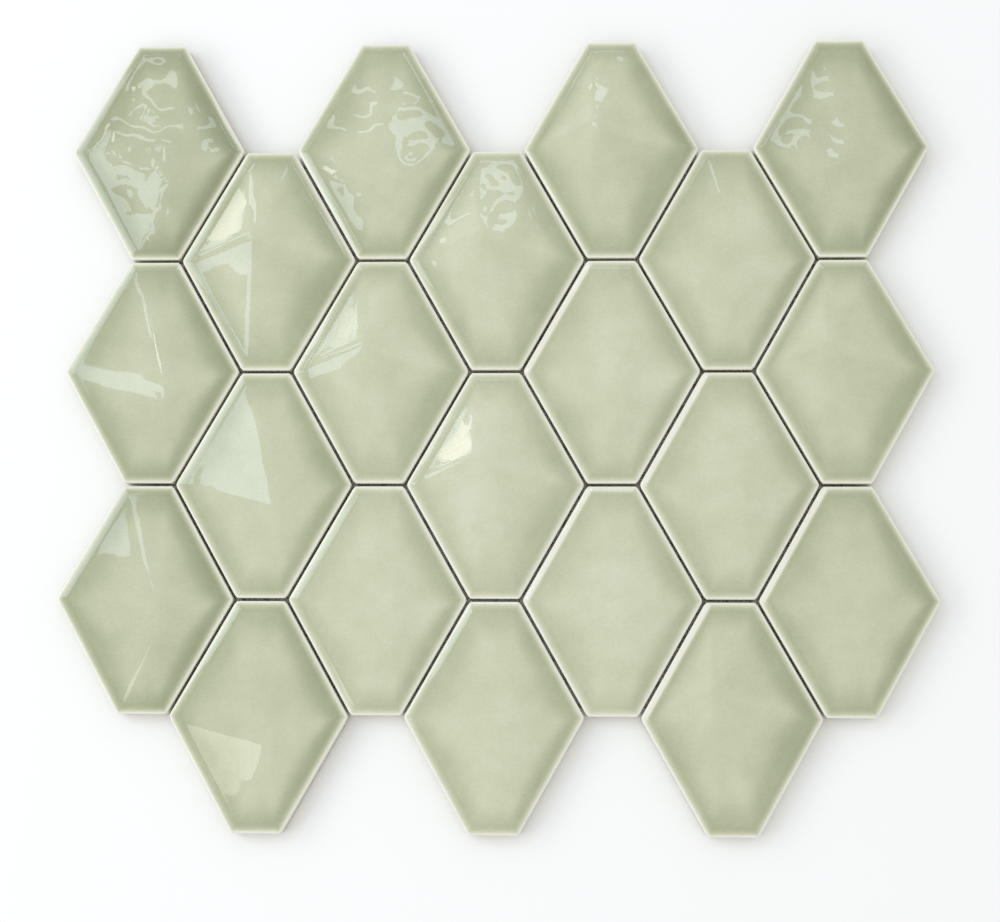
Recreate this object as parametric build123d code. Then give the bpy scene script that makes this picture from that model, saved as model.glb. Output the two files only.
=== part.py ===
from build123d import *
import math
import os

# Mosaic sheet of glazed tiles on a backing mesh, in millimetres.
# +Z is up out of the glazed face, +X runs along the rows and +Y up the columns.
# The origin is under the middle of the sheet, on the face that is bedded in adhesive.

# Tile outline: a tall hexagon with a short edge at the top and the bottom
TILE_WIDTH = 62.0
TILE_HEIGHT = 79.0
TILE_FLAT = 17.2
CORNER_ROUND = 0.8

# Tile section from the edge inwards: wall, softened edge, bevelled rim, groove, crown
WALL_HEIGHT = 5.6
EDGE_SOFTENING = 0.5
RIM_WIDTH = 2.8
RIM_RISE = 0.45
GROOVE_WIDTH = 0.7
GROOVE_DEPTH = 0.08
CROWN_RISE = 2.2
APEX_ASIDE = 5.5
APEX_BELOW = 9.0

# Sheet: every second column sits half a tile lower
COLUMNS = 7
ROW_NAMES = ["top", "middle", "bottom"]
JOINT = 1.0
TURNED_TILES = [(2, 1), (4, 1), (5, 1), (3, 2), (4, 2), (7, 2), (6, 3)]

# Backing mesh: flat glass strands, glued to the backs of the tiles
STRAND_PITCH = 8.0
STRAND_WIDTH = 1.0
STRAND_THICKNESS = 0.4
MESH_MARGIN = 3.0
MESH_PANELS = 3

# Sizes that follow from the ones above
SIDE_ANGLE = math.atan2(TILE_HEIGHT, TILE_WIDTH - TILE_FLAT)
COLUMN_STEP = (TILE_WIDTH + TILE_FLAT) / 2 + JOINT * (1 / math.sin(SIDE_ANGLE) - 0.5 / math.tan(SIDE_ANGLE))
ROW_STEP = TILE_HEIGHT + JOINT
SIDE_NOTCH = (COLUMNS - 1) / 2 * COLUMN_STEP + TILE_FLAT / 2
END_NOTCH = (len(ROW_NAMES) - 1) / 2 * ROW_STEP - ROW_STEP / 4 + TILE_HEIGHT / 2
CELLS_ACROSS = 2 * math.floor((SIDE_NOTCH - MESH_MARGIN - STRAND_WIDTH / 2) / STRAND_PITCH)
CELLS_UP = 2 * math.floor((END_NOTCH - MESH_MARGIN - STRAND_WIDTH / 2) / STRAND_PITCH)


def hexagon(inset, level):
    """The tile outline moved in by the inset, with its corners rounded, as a face at a level."""
    half_height = TILE_HEIGHT / 2 - inset
    half_width = TILE_WIDTH / 2 - inset / math.sin(SIDE_ANGLE)
    half_flat = half_width - half_height / math.tan(SIDE_ANGLE)
    corners = [
        (half_flat, half_height),
        (-half_flat, half_height),
        (-half_width, 0),
        (-half_flat, -half_height),
        (half_flat, -half_height),
        (half_width, 0),
    ]
    outline = make_face(Polyline(*corners, close=True))
    return Pos(0, 0, level) * fillet(outline.vertices(), CORNER_ROUND)


def tile():
    """One tile with its back on Z 0 and the top of its crown to the lower right."""
    steps = [
        (0, WALL_HEIGHT),
        (EDGE_SOFTENING, EDGE_SOFTENING),
        (RIM_WIDTH, RIM_RISE),
        (GROOVE_WIDTH, -GROOVE_DEPTH),
    ]
    inset, level = 0, 0
    sections = [hexagon(inset, level)]
    for inwards, upwards in steps:
        inset, level = inset + inwards, level + upwards
        sections.append(hexagon(inset, level))
    apex = Vertex(APEX_ASIDE, -APEX_BELOW, level + CROWN_RISE)
    return loft(sections, ruled=True) + loft([sections[-1], apex], ruled=True)


def tile_centre(column, row):
    """Place of a tile on the sheet, columns from the left and rows from the top, both from 1."""
    x = (column - (COLUMNS + 1) / 2) * COLUMN_STEP
    lift = ROW_STEP / 4 if column % 2 else -ROW_STEP / 4
    y = ((len(ROW_NAMES) + 1) / 2 - row) * ROW_STEP + lift
    return Vector(x, y, STRAND_THICKNESS)


def mesh_panel(first, last):
    """The net between two strands that run up the sheet, numbered from the left.

    Panels meet on the middle line of the strand that they share.
    """
    left = (first - CELLS_ACROSS / 2) * STRAND_PITCH - (STRAND_WIDTH / 2 if first == 0 else 0)
    right = (last - CELLS_ACROSS / 2) * STRAND_PITCH + (STRAND_WIDTH / 2 if last == CELLS_ACROSS else 0)
    height = CELLS_UP * STRAND_PITCH + STRAND_WIDTH
    outline = Pos((left + right) / 2, 0) * Wire.make_rect(right - left, height)
    openings = []
    for across in range(first, last):
        for up in range(CELLS_UP):
            x = (across + 0.5 - CELLS_ACROSS / 2) * STRAND_PITCH
            y = (up + 0.5 - CELLS_UP / 2) * STRAND_PITCH
            opening = STRAND_PITCH - STRAND_WIDTH
            openings.append(Pos(x, y) * Wire.make_rect(opening, opening))
    return extrude(Face(outline, openings), STRAND_THICKNESS, dir=(0, 0, 1))


os.makedirs("parts", exist_ok=True)

straight_tile = tile()
turned_tile = Rot(0, 0, 180) * straight_tile
for column in range(1, COLUMNS + 1):
    for row, row_name in enumerate(ROW_NAMES, start=1):
        design = turned_tile if (column, row) in TURNED_TILES else straight_tile
        placed = Pos(tile_centre(column, row)) * design
        export_step(placed, f"parts/tile_column_{column}_{row_name}.step")

for panel in range(MESH_PANELS):
    first_strand = panel * CELLS_ACROSS // MESH_PANELS
    last_strand = (panel + 1) * CELLS_ACROSS // MESH_PANELS
    export_step(mesh_panel(first_strand, last_strand), f"parts/backing_mesh_{panel + 1}.step")
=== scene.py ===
import math
import random

import bpy
from mathutils import Matrix, Vector


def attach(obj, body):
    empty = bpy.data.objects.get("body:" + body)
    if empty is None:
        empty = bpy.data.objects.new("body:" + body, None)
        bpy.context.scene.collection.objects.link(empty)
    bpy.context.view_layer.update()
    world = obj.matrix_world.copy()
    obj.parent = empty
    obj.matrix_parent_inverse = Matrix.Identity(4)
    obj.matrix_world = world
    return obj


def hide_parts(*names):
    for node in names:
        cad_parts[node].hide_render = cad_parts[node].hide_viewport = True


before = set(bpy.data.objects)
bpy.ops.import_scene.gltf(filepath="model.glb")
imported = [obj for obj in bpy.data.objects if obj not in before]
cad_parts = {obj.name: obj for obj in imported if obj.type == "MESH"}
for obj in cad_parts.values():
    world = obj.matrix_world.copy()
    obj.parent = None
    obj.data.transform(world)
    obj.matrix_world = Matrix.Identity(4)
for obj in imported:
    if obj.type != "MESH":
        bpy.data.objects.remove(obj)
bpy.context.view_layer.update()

bpy.context.scene.view_settings.view_transform = "Standard"

# Glazed tiles
# Each tile is pressed from clay in one piece: a tall hexagon with a bevelled rim, a fine crease
# inside it and a low crown of six facets that meet off centre. A glossy translucent glaze covers
# the face and runs over the edge. Some tiles are laid turned half round.
MM = 0.001
TILE_WIDTH = 62.0
TILE_HEIGHT = 79.0
TILE_FLAT = 17.2
JOINT = 1.0
COLUMNS = 7
ROW_NAMES = ["top", "middle", "bottom"]
TURNED_TILES = [(2, 1), (4, 1), (5, 1), (3, 2), (4, 2), (7, 2), (6, 3)]
SIDE_ANGLE = math.atan2(TILE_HEIGHT, TILE_WIDTH - TILE_FLAT)
COLUMN_STEP = (TILE_WIDTH + TILE_FLAT) / 2 + JOINT * (1 / math.sin(SIDE_ANGLE) - 0.5 / math.tan(SIDE_ANGLE))
ROW_STEP = TILE_HEIGHT + JOINT

# Section of a tile: levels up the wall from the back, then steps inwards and upwards
BACK_LEVEL = 0.4
WALL_LEVELS = [1.6, 4.4, 5.6]
EDGE_STEPS = [(0.07, 0.25), (0.18, 0.18), (0.25, 0.07)]
RIM_STEPS = [(0.5, 0.09), (0.7, 0.115), (0.8, 0.125), (0.6, 0.09)]
CREASE_STEPS = [(0.25, 0.0), (0.45, 0.02)]
CROWN_RISE = 2.1
APEX = (5.5, -9.0)
CREASE_INSET = sum(inwards for inwards, upwards in EDGE_STEPS + RIM_STEPS) + CREASE_STEPS[0][0]
CROWN_INSET = sum(inwards for inwards, upwards in EDGE_STEPS + RIM_STEPS + CREASE_STEPS)
GLAZE_LINE = BACK_LEVEL + WALL_LEVELS[0]
EDGE_LEVEL = BACK_LEVEL + WALL_LEVELS[-1]

# Places nearer than CLOSE count as one. Edges longer than SHORT_EDGE are cut SIDE_CUTS times.
CLOSE = 0.01
SHORT_EDGE = 5.0
SIDE_CUTS = 40

# The upright corners are pulled in a little, and the ridges of the crown are smoothed
CORNER_WIDTH = 0.9
CORNER_PULL = 0.992
SMOOTH_CLEARANCE = 0.2
SMOOTH_FACTOR = 0.5
SMOOTH_ROUNDS = 14


def select_vertices(mesh, wanted):
    """In edit mode, leaves selected only the vertices that the test picks."""
    bpy.ops.mesh.select_mode(type="VERT")
    bpy.ops.mesh.select_all(action="DESELECT")
    bpy.ops.object.mode_set(mode="OBJECT")
    for vertex in mesh.vertices:
        vertex.select = wanted(vertex.co / MM)
    bpy.ops.object.mode_set(mode="EDIT")


def select_edges(mesh, wanted):
    """In edit mode, leaves selected only the edges whose two ends pass the test."""
    bpy.ops.mesh.select_mode(type="EDGE")
    bpy.ops.mesh.select_all(action="DESELECT")
    bpy.ops.object.mode_set(mode="OBJECT")
    for edge in mesh.edges:
        start, end = (mesh.vertices[index].co / MM for index in edge.vertices)
        edge.select = wanted(start, end)
    bpy.ops.object.mode_set(mode="EDIT")


def side_distances(x, y):
    """How far a point of the tile is in from each of its six sides, in millimetres.

    The order is upper right, lower right, upper left, lower left, top and bottom.
    """
    across, up = math.sin(SIDE_ANGLE), math.cos(SIDE_ANGLE)
    slanted = [
        (TILE_WIDTH / 2 - right * x) * across - top * y * up for right in (1, -1) for top in (1, -1)
    ]
    return slanted + [TILE_HEIGHT / 2 - y, TILE_HEIGHT / 2 + y]


def inset_of(place):
    """How far a point of the tile is in from its nearest side."""
    return min(side_distances(place.x, place.y))


def on_corner(place):
    """Whether a point lies on the line from a corner inwards, as near to one side as to the next."""
    nearest, second = sorted(side_distances(place.x, place.y))[:2]
    return second - nearest < CLOSE


bpy.ops.object.select_all(action="DESELECT")
bpy.ops.mesh.primitive_circle_add(
    vertices=6,
    radius=TILE_WIDTH / 2 * MM,
    fill_type="NGON",
    location=(0, 0, BACK_LEVEL * MM),
    rotation=(0, 0, math.pi / 2),
)
tile = bpy.context.object
tile.name = "tile_model"
bpy.ops.object.transform_apply(location=True, rotation=True, scale=True)
bpy.ops.object.mode_set(mode="EDIT")

# The four end corners of an even hexagon move to those of the tall one.
flat_stretch = 2 * TILE_FLAT / TILE_WIDTH
height_stretch = TILE_HEIGHT / (TILE_WIDTH * math.sin(math.pi / 3))
select_vertices(tile.data, lambda place: abs(place.y) > CLOSE)
bpy.ops.transform.resize(value=(flat_stretch, height_stretch, 1))

bpy.ops.mesh.select_all(action="SELECT")
for below, level in zip([0] + WALL_LEVELS, WALL_LEVELS):
    bpy.ops.mesh.extrude_region_move(TRANSFORM_OT_translate={"value": (0, 0, (level - below) * MM)})
for inwards, upwards in EDGE_STEPS + RIM_STEPS + CREASE_STEPS:
    bpy.ops.mesh.inset(thickness=inwards * MM, depth=upwards * MM)

bpy.ops.mesh.poke(offset=CROWN_RISE * MM)
bpy.ops.object.mode_set(mode="OBJECT")
crown_top = max(vertex.co.z for vertex in tile.data.vertices) / MM
bpy.ops.object.mode_set(mode="EDIT")
select_vertices(tile.data, lambda place: place.z > crown_top - CLOSE)
bpy.ops.transform.translate(value=(APEX[0] * MM, APEX[1] * MM, 0))

# The edges along the sides and up the ridges are long, and those from ring to ring are short.
select_edges(tile.data, lambda start, end: (start - end).length > SHORT_EDGE)
bpy.ops.mesh.subdivide(number_cuts=SIDE_CUTS)
select_vertices(tile.data, lambda place: inset_of(place) < CORNER_WIDTH and on_corner(place))
bpy.ops.transform.resize(value=(CORNER_PULL, CORNER_PULL, 1), center_override=(0, 0, 0))
select_vertices(tile.data, lambda place: inset_of(place) > CROWN_INSET + SMOOTH_CLEARANCE)
bpy.ops.mesh.vertices_smooth(factor=SMOOTH_FACTOR, repeat=SMOOTH_ROUNDS)
bpy.ops.mesh.select_all(action="SELECT")
bpy.ops.mesh.normals_make_consistent(inside=False)
bpy.ops.object.mode_set(mode="OBJECT")


def ease(start, end, value):
    """Rises smoothly from 0 at the start to 1 at the end."""
    part = min(max((value - start) / (end - start), 0), 1)
    return part * part * (3 - 2 * part)


# The glaze is thinnest on the sharp edge, thin on the crown and its ridges, and pools in the
# crease and along the foot of the facets. Depths are shares of the thickest glaze.
THIN_GLAZE = 0.36
WALL_GLAZE = 0.5
CREASE_GLAZE = 0.04
POOLED_GLAZE = 0.31
# Pools on the left of a tile, as laid, are only this share as deep as on the right; the extra depth on the
# right is painted shade for the sides that face away from the light at the left.
POOL_SHARE_WITHOUT_PAINTED_SHADE = 0.6

# Where the glaze thickens, in millimetres in from a side, down the wall from the edge, or out from
# the middle. Points nearer to a side than ON_WALL are on the wall. On some tiles the pale edge is
# widened along the upper left side, which is painted highlight on the rim that faces the light.
EDGE_THIN = (0.65, 1.2)
PAINTED_EDGE_HIGHLIGHT_WIDTH = (1.6, 2.6)
PAINTED_EDGE_HIGHLIGHT_TILES = [(5, 2), (6, 2), (5, 3), (6, 3), (7, 3)]
POOL_START = (1.0, 2.5)
CREASE_WIDTH = 0.4
ON_WALL = 0.05
WALL_FADE = 1.6
# The painted shade on the right of a tile grows over this width out from its middle.
PAINTED_SHADE_WIDTH = 20

# Widths on the crown, as shares of the climb from its foot to its top
POOL_WIDTH = 0.28
RIDGE_WIDTH = 0.25
RIDGE_START = 0.3
RIDGE_SHED = 0.8
FACET_BLEND = 0.15

# On a turned tile each facet of the crown is painted a little lighter or darker by the way it faces:
# those facing left and up lighter, those facing right darker, which is painted shade and light. One
# share for each side, in the order of side_distances.
TURNED_PAINTED_FACET_SHADE = [-0.025, -0.05, 0.045, 0.02, 0.0, -0.03]
apex_distances = side_distances(*APEX)


def glaze_depth_and_painted_light(place, turned, has_painted_edge_highlight):
    """How thick the glaze is at a point of the tile, from 0 to about 1.

    Its pools darken to the right, as the tiles are laid, which is painted shade; some tiles get a
    wider pale edge on the upper left, which is painted highlight; and turned tiles get painted shade
    and light on their facets.
    """
    # How far right the point lies as the tiles are laid, for the painted shade on the right.
    right = min(max((-place.x if turned else place.x) / PAINTED_SHADE_WIDTH, -1), 1)
    distances = side_distances(place.x, place.y)
    inset = min(distances)
    if inset < ON_WALL:
        return WALL_GLAZE * ease(0, WALL_FADE, EDGE_LEVEL - place.z)
    climbs = [
        (distance - CREASE_INSET) / (apex_distance - CREASE_INSET)
        for distance, apex_distance in zip(distances, apex_distances)
    ]
    facet = climbs.index(min(climbs))
    climbs.sort()
    climb = min(max(climbs[0], 0), 1)
    from_ridge = climbs[1] - climbs[0]
    ridge = math.exp(-((from_ridge / RIDGE_WIDTH) ** 2)) * ease(0, RIDGE_START, climb)
    pooled = POOLED_GLAZE * math.exp(-((climb / POOL_WIDTH) ** 2))
    # Painted shade: the pools darken towards the right of the tile, as laid, away from the light.
    pooled *= POOL_SHARE_WITHOUT_PAINTED_SHADE + (1 - POOL_SHARE_WITHOUT_PAINTED_SHADE) * max(right, 0)
    pooled *= (1 - RIDGE_SHED * ridge) * ease(*POOL_START, inset)
    crease = CREASE_GLAZE * math.exp(-(((inset - CREASE_INSET) / CREASE_WIDTH) ** 2))
    cover = ease(*EDGE_THIN, inset)
    # Painted highlight: on some tiles the pale edge is widened along the side that faces the upper left,
    # towards the light.
    if has_painted_edge_highlight:
        cover = min(cover, ease(*PAINTED_EDGE_HIGHLIGHT_WIDTH, distances[1 if turned else 2]))
    # Painted shade and light on the facets of a turned tile
    painted_facet_shade = 0
    if turned:
        painted_facet_shade = TURNED_PAINTED_FACET_SHADE[facet] * ease(0, FACET_BLEND, from_ridge) * ease(0, FACET_BLEND, climb)
    return cover * (THIN_GLAZE + painted_facet_shade + pooled + crease)


# Vertex groups say where the glaze is uneven: over the face, from the foot of the crown inwards,
# and along the line where it ends on the wall.
FLOW_FADE = 6
face_group = tile.vertex_groups.new(name="face")
line_group = tile.vertex_groups.new(name="glaze_line")
for vertex in tile.data.vertices:
    place = vertex.co / MM
    face_group.add([vertex.index], ease(CROWN_INSET, CROWN_INSET + FLOW_FADE, inset_of(place)), "REPLACE")
    line_group.add([vertex.index], 1.0 if abs(place.z - GLAZE_LINE) < CLOSE else 0.0, "REPLACE")
# Each point keeps its glaze depth together with its painted shade and painted highlight.
tile.data.attributes.new("glaze_depth_and_painted_light", "FLOAT", "POINT")
glaze_depths_and_painted_light = {
    (turned, has_painted_edge_highlight): [glaze_depth_and_painted_light(vertex.co / MM, turned, has_painted_edge_highlight) for vertex in tile.data.vertices]
    for turned in (False, True)
    for has_painted_edge_highlight in (False, True)
}


def linear(hex_colour):
    """A colour written as sRGB hex, as the linear values that a shader takes."""
    parts = [int(hex_colour[place : place + 2], 16) / 255 for place in (1, 3, 5)]
    return [part / 12.92 if part <= 0.04045 else ((part + 0.055) / 1.055) ** 2.4 for part in parts] + [1]


def add_node(tree, kind, settings={}, values={}, links={}):
    """Adds a node, sets its own settings and its input values, and links other sockets to its inputs."""
    node = tree.nodes.new(kind)
    for name, value in settings.items():
        setattr(node, name, value)
    for name, value in values.items():
        node.inputs[name].default_value = value
    for name, socket in links.items():
        tree.links.new(socket, node.inputs[name])
    return node


def new_material(name):
    """An empty node material, its node tree and its shader."""
    material = bpy.data.materials.new(name)
    material.use_nodes = True
    return material, material.node_tree, material.node_tree.nodes["Principled BSDF"]


def add_noise(tree, size, values):
    """A noise in the object's own coordinates, with patches of about a size in millimetres."""
    coords = add_node(tree, "ShaderNodeTexCoord")
    values = {"Scale": 1 / (size * MM), **values}
    noise = add_node(tree, "ShaderNodeTexNoise", {}, values, {"Vector": coords.outputs["Object"]})
    return noise.outputs["Fac"]


def spread(tree, noise, low, high, clamp):
    """Spreads the range that a noise mostly stays in over another range."""
    values = {"From Min": 0.3, "From Max": 0.7, "To Min": low, "To Max": high}
    node = add_node(tree, "ShaderNodeMapRange", {"clamp": clamp}, values, {"Value": noise})
    return node.outputs["Result"]


def combine(tree, operation, first, second):
    """Adds or multiplies two values."""
    node = add_node(tree, "ShaderNodeMath", {"operation": operation}, {}, {0: first, 1: second})
    return node.outputs["Value"]


def colour_by(tree, shader, factor, stops):
    """Colours a shader by a factor, with stops that are each a place and a hex colour."""
    ramp = add_node(tree, "ShaderNodeValToRGB", links={"Fac": factor})
    elements = ramp.color_ramp.elements
    while len(elements) < len(stops):
        elements.new(1)
    for element, (place, colour) in zip(elements, stops):
        element.position = place
        element.color = linear(colour)
    tree.links.new(ramp.outputs["Color"], shader.inputs["Base Color"])


def add_bump(tree, shader, pattern, strength, height):
    """Lets a pattern raise the surface of a shader by a height in millimetres."""
    values = {"Strength": strength, "Distance": height * MM}
    bump = add_node(tree, "ShaderNodeBump", {}, values, {"Height": pattern})
    tree.links.new(bump.outputs["Normal"], shader.inputs["Normal"])


# Glossy sage glaze: cream where it is thin, olive where it is thick, with soft drifts and a fine
# grain in its depth. The surface is smooth, with a faint orange peel. A real grain is finer, and is
# drawn as coarse as it needs to show.
DRIFT_SIZE = 13.333
DRIFT_DEPTH = 0.05
GRAIN_SIZE = 0.909
GRAIN_DEPTH = 0.03
PEEL_SIZE = 3.333
PEEL_HEIGHT = 0.002
GLAZE_ROUGHNESS = (0.015, 0.035)
glaze, tree, shader = new_material("glossy_sage_glaze")
# The glaze is coloured by its depth, which also holds painted shade and painted highlight.
thickness = add_node(tree, "ShaderNodeAttribute", {"attribute_name": "glaze_depth_and_painted_light"}).outputs["Fac"]
drift = add_noise(tree, DRIFT_SIZE, {"Detail": 3, "Roughness": 0.55})
grain = add_noise(tree, GRAIN_SIZE, {"Detail": 2, "Roughness": 0.6})
drifted = combine(tree, "ADD", thickness, spread(tree, drift, -DRIFT_DEPTH, DRIFT_DEPTH, False))
grained = combine(tree, "ADD", drifted, spread(tree, grain, -GRAIN_DEPTH, GRAIN_DEPTH, False))
glaze_colours = [
    (0.0, "#ecebdd"),
    (0.14, "#e0dfca"),
    (0.30, "#cfd3b5"),
    (0.40, "#c5c9aa"),
    (0.60, "#afb493"),
    (0.80, "#9ca180"),
    (1.0, "#898d6e"),
]
colour_by(tree, shader, grained, glaze_colours)
tree.links.new(spread(tree, drift, *GLAZE_ROUGHNESS, True), shader.inputs["Roughness"])
add_bump(tree, shader, add_noise(tree, PEEL_SIZE, {"Detail": 1}), 1.0, PEEL_HEIGHT)
shader.inputs["IOR"].default_value = 1.52

# Fired clay: dry, buff, with a sandy grain and darker specks. It shows below the glaze line and on
# the back. Real sand is finer, and is drawn as coarse as it needs to show.
SAND_SIZE = 1.111
SAND_HEIGHT = 0.1
clay, tree, shader = new_material("fired_buff_clay")
sand = add_noise(tree, SAND_SIZE, {"Detail": 4, "Roughness": 0.7})
clay_colours = [(0.3, "#958b77"), (0.42, "#b5ab96"), (0.6, "#c2b9a5"), (0.75, "#cfc7b5")]
colour_by(tree, shader, sand, clay_colours)
add_bump(tree, shader, sand, 0.5, SAND_HEIGHT)
shader.inputs["Roughness"].default_value = 0.9

tile.data.materials.append(glaze)
tile.data.materials.append(clay)
for face in tile.data.polygons:
    face.material_index = 1 if face.center.z / MM < GLAZE_LINE else 0
    face.use_smooth = True

# The face of most tiles is nearly even, and on a few it is wavy, by these heights. The line where
# the glaze ends on the wall wanders by its own height.
UNEVEN_TILES = [(1, 1), (3, 1), (4, 1), (5, 1), (7, 1)]
UNEVEN_FLOW = 0.8
EVEN_FLOW = 0.05
LINE_FLOW = 1.2
FACE_FLOW_SIZE = 14
LINE_FLOW_SIZE = 7
SHARP_ANGLE = 40
glaze_flow = bpy.data.textures.new("glaze_flow", "CLOUDS")
glaze_flow.noise_scale = FACE_FLOW_SIZE * MM
glaze_flow.noise_depth = 1
line_flow = bpy.data.textures.new("line_flow", "CLOUDS")
line_flow.noise_scale = LINE_FLOW_SIZE * MM


def displace(piece, texture, height, group):
    """Raises and lowers a part of a piece by a cloudy texture, and applies it."""
    bpy.ops.object.modifier_add(type="DISPLACE")
    modifier = piece.modifiers[-1]
    modifier.texture = texture
    modifier.texture_coords = "GLOBAL"
    modifier.direction = "Z"
    modifier.strength = height * MM
    modifier.vertex_group = group
    bpy.ops.object.modifier_apply(modifier=modifier.name)


# Each tile's glaze colour is painted palest near a place right of the middle of the sheet and darker
# outwards from there, which is painted shade for light that falls off outwards; each firing also
# differs a little.
PAINTED_LIGHT_PLACE = (20, -20)
PAINTED_SHADE_REACH = 150
LEAST_PAINTED_SHADE = 0.82
PAINTED_SHADE_GROWTH = 0.32
SHADE_SPREAD = 0.04
firing = random.Random(7)


def firing_and_painted_falloff(x, y):
    """The share by which a tile's glaze colour is darkened at a place, by painted shade and its firing."""
    away = (x - PAINTED_LIGHT_PLACE[0]) ** 2 + (y - PAINTED_LIGHT_PLACE[1]) ** 2
    return LEAST_PAINTED_SHADE + PAINTED_SHADE_GROWTH * away / PAINTED_SHADE_REACH**2 + firing.uniform(-SHADE_SPREAD, SHADE_SPREAD)


for column in range(1, COLUMNS + 1):
    for row, row_name in enumerate(ROW_NAMES, start=1):
        name = f"tile_column_{column}_{row_name}"
        copy = tile.copy()
        copy.data = tile.data.copy()
        copy.name = f"glazed_{name}"
        bpy.context.collection.objects.link(copy)
        lift = ROW_STEP / 4 if column % 2 else -ROW_STEP / 4
        x = (column - (COLUMNS + 1) / 2) * COLUMN_STEP
        y = ((len(ROW_NAMES) + 1) / 2 - row) * ROW_STEP + lift
        copy.location = (x * MM, y * MM, 0)
        turned = (column, row) in TURNED_TILES
        if turned:
            copy.rotation_euler = (0, 0, math.pi)
        bpy.ops.object.select_all(action="DESELECT")
        copy.select_set(True)
        bpy.context.view_layer.objects.active = copy
        bpy.context.view_layer.update()
        displace(copy, glaze_flow, UNEVEN_FLOW if (column, row) in UNEVEN_TILES else EVEN_FLOW, "face")
        displace(copy, line_flow, LINE_FLOW, "glaze_line")
        bpy.ops.object.transform_apply(location=True, rotation=True, scale=True)
        bpy.ops.object.shade_smooth_by_angle(angle=math.radians(SHARP_ANGLE))
        # Painted shade darkens the tiles towards the outside of the sheet, with a little random firing
        # difference.
        shade = firing_and_painted_falloff(x, y)
        depths = glaze_depths_and_painted_light[turned, (column, row) in PAINTED_EDGE_HIGHLIGHT_TILES]
        for point, value in zip(copy.data.attributes["glaze_depth_and_painted_light"].data, depths):
            point.value = value * shade
        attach(copy, "root")
        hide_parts(name)
bpy.data.objects.remove(tile)

# Backing net
# A flat net of glass strands in a white coating, woven in one piece and glued to the backs of the
# tiles. It is stored in three panels, which keep their own shape here.
NET_PANELS = 3

# Coated glass net: matt off-white, with the fibres of the strands just showing. Real fibres are far
# finer, and are drawn as coarse as they need to show. The wave repeats every 2 pi / 20 at scale 1.
FIBRE_SPACING = 0.349
FIBRE_HEIGHT = 0.1
net, tree, shader = new_material("coated_glass_net")
coords = add_node(tree, "ShaderNodeTexCoord")
fibre_scale = 2 * math.pi / 20 / (FIBRE_SPACING * MM)
fibres = [
    add_node(
        tree,
        "ShaderNodeTexWave",
        {"bands_direction": direction},
        {"Scale": fibre_scale, "Distortion": 2.0, "Detail": 1.0},
        {"Vector": coords.outputs["Object"]},
    ).outputs["Fac"]
    for direction in ("X", "Y")
]
weave = combine(tree, "MULTIPLY", *fibres)
colour_by(tree, shader, weave, [(0.0, "#c0c0b7"), (0.5, "#d0d0c8"), (1.0, "#e0e0d9")])
add_bump(tree, shader, weave, 0.6, FIBRE_HEIGHT)
shader.inputs["Roughness"].default_value = 0.6
for number in range(1, NET_PANELS + 1):
    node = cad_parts[f"backing_mesh_{number}"]
    node.data.materials.clear()
    node.data.materials.append(net)

# Floor
# A plain pale sheet that the object lies on, just below the net so that the two don't share a
# plane. It is matt and mirrors nothing.
FLOOR_SIZE = 12
FLOOR_GAP = 0.05
bpy.ops.object.select_all(action="DESELECT")
bpy.ops.mesh.primitive_plane_add(size=FLOOR_SIZE, location=(0, 0, -FLOOR_GAP * MM))
floor = bpy.context.object
floor.name = "floor"
paper, tree, shader = new_material("pale_paper_floor")
shader.inputs["Base Color"].default_value = linear("#fdfdfc")
shader.inputs["Roughness"].default_value = 0.9
shader.inputs["Specular IOR Level"].default_value = 0.0
floor.data.materials.append(paper)

# Light
# A soft even room light, a long low soft box at the left, and a far window that the glaze mirrors:
# pale blue panes and bars, a warm lamp, and three small bright panes in frames.
ROOM_LIGHT = 0.80
WHITE = "#ffffff"
SKY_BLUE = "#cfe6ff"
PALE_SKY = "#e6f2ff"
FAINT_SKY = "#eef6ff"
WARM_WHITE = "#fffaf0"
world = bpy.data.worlds.new("studio")
bpy.context.scene.world = world
world.use_nodes = True
world.node_tree.nodes["Background"].inputs["Color"].default_value = linear(WHITE)
world.node_tree.nodes["Background"].inputs["Strength"].default_value = ROOM_LIGHT


def soft_box(name, facing, upright, away, aside, size, brightness, colour, lean=0):
    """A flat lamp that faces the object from a direction, moved aside and leant over in its own plane.

    Lengths are in metres and the lean is in degrees.
    """
    back = Vector(facing).normalized()
    level = Vector(upright).cross(back).normalized()
    rise = back.cross(level)
    lamp = bpy.data.objects.new(name, bpy.data.lights.new(name, "AREA"))
    bpy.context.collection.objects.link(lamp)
    lamp.data.shape = "RECTANGLE"
    lamp.data.size, lamp.data.size_y = size
    lamp.data.energy = brightness * math.pi * size[0] * size[1]
    lamp.data.color = linear(colour)[:3]
    lamp.location = back * away + level * aside[0] + rise * aside[1]
    turn = Matrix((level, rise, back)).transposed() @ Matrix.Rotation(math.radians(lean), 3, "Z")
    lamp.rotation_euler = turn.to_euler()


soft_box("low_soft_box", (-0.86, 0.0, 0.5), (0, 0, 1), 2.0, (0, 0), (2.4, 0.7), 2.2, WHITE)

WINDOW_FACING = (-0.375, 0.325, 0.868)
WINDOW_UPRIGHT = (0, 1, 0)
WINDOW_AWAY = 1.6


def window_pane(name, aside, size, brightness, colour, lean=0):
    """One pane, bar or lamp of the far window, by its place and size in the window's plane."""
    soft_box(name, WINDOW_FACING, WINDOW_UPRIGHT, WINDOW_AWAY, aside, size, brightness, colour, lean)


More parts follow.
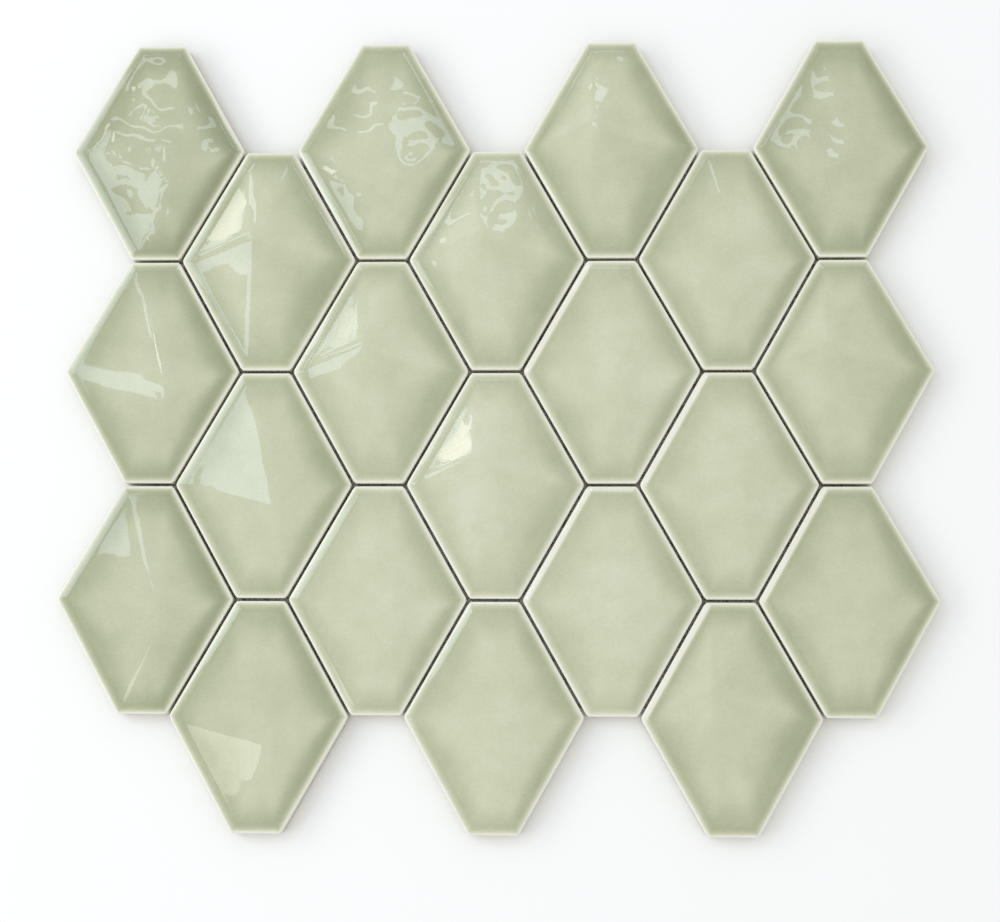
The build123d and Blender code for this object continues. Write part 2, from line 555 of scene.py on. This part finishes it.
WINDOW = [
    ("left_pane", (-0.265, -0.155), (0.27, 0.41), 3.4, SKY_BLUE),
    ("upper_left_pane", (-0.308, 0.19), (0.185, 0.28), 3.4, SKY_BLUE),
    ("small_pane", (-0.183, 0.108), (0.055, 0.045), 3.4, SKY_BLUE),
    ("middle_rim_pane", (-0.110, 0.058), (0.05, 0.05), 3.6, SKY_BLUE),
    ("right_rim_pane", (0.028, -0.064), (0.05, 0.05), 3.6, SKY_BLUE),
    ("low_pane", (-0.085, -0.26), (0.09, 0.22), 3.4, SKY_BLUE),
    ("narrow_pane", (0.0, -0.205), (0.08, 0.09), 3.4, SKY_BLUE),
    ("corner_pane", (0.09, -0.26), (0.10, 0.20), 3.4, SKY_BLUE),
    ("high_pane", (0.62, 0.2425), (0.38, 0.085), 3.4, SKY_BLUE),
    ("top_pane", (0.66, 0.40), (0.09, 0.06), 3.4, SKY_BLUE),
    ("cross_bar", (0.015, -0.035), (0.11, 0.016), 3.4, SKY_BLUE),
    ("high_bar", (0.045, 0.20), (0.33, 0.04), 3.6, PALE_SKY),
    ("low_lamp", (0.029, -0.874), (0.13, 0.13), 2.6, WARM_WHITE),
]
for name, aside, size, brightness, colour in WINDOW:
    window_pane(name, aside, size, brightness, colour)

# Each framed pane has three bars around it, placed from its middle and leant over.
FRAMED_LEAN = 64
FRAMED_PANES = [
    ("right_framed", (0.106, -0.08), (0.056, 0.024), 6.0, WARM_WHITE),
    ("middle_framed", (-0.036, 0.045), (0.052, 0.022), 3.6, FAINT_SKY),
    ("left_framed", (-0.177, 0.165), (0.070, 0.036), 5.4, WARM_WHITE),
]
BAR_WIDTH = 0.007
BAR_BRIGHTNESS = 4.4
FRAME_BARS = [
    ("left_bar", (-0.0145, 0.0045), 0.090, 64),
    ("right_bar", (0.0170, 0.0120), 0.050, 90),
    ("base_bar", (-0.0030, -0.0255), 0.051, 35),
]
for name, middle, size, brightness, colour in FRAMED_PANES:
    window_pane(name, middle, size, brightness, colour, FRAMED_LEAN)
    for bar, offset, length, lean in FRAME_BARS:
        aside = (middle[0] + offset[0], middle[1] + offset[1])
        window_pane(f"{name}_{bar}", aside, (length, BAR_WIDTH), BAR_BRIGHTNESS, SKY_BLUE, lean)

# Camera
# It looks almost straight down at the sheet, from a little below its middle and to the right. Its
# place in millimetres, its turn in degrees and its lens come from a fit to the joints in the photo.
CAMERA_PLACE = (27.49, -93.76, 626.16)
CAMERA_TURN = (7.554, 2.35, 0.325)
SENSOR_WIDTH = 36
LENS = 64.8
camera = bpy.data.objects.new("camera", bpy.data.cameras.new("camera"))
bpy.context.collection.objects.link(camera)
camera.location = Vector(CAMERA_PLACE) * MM
camera.rotation_euler = [math.radians(angle) for angle in CAMERA_TURN]
camera.data.sensor_fit = "HORIZONTAL"
camera.data.sensor_width = SENSOR_WIDTH
camera.data.lens = LENS
bpy.context.scene.camera = camera

bpy.context.view_layer.update()
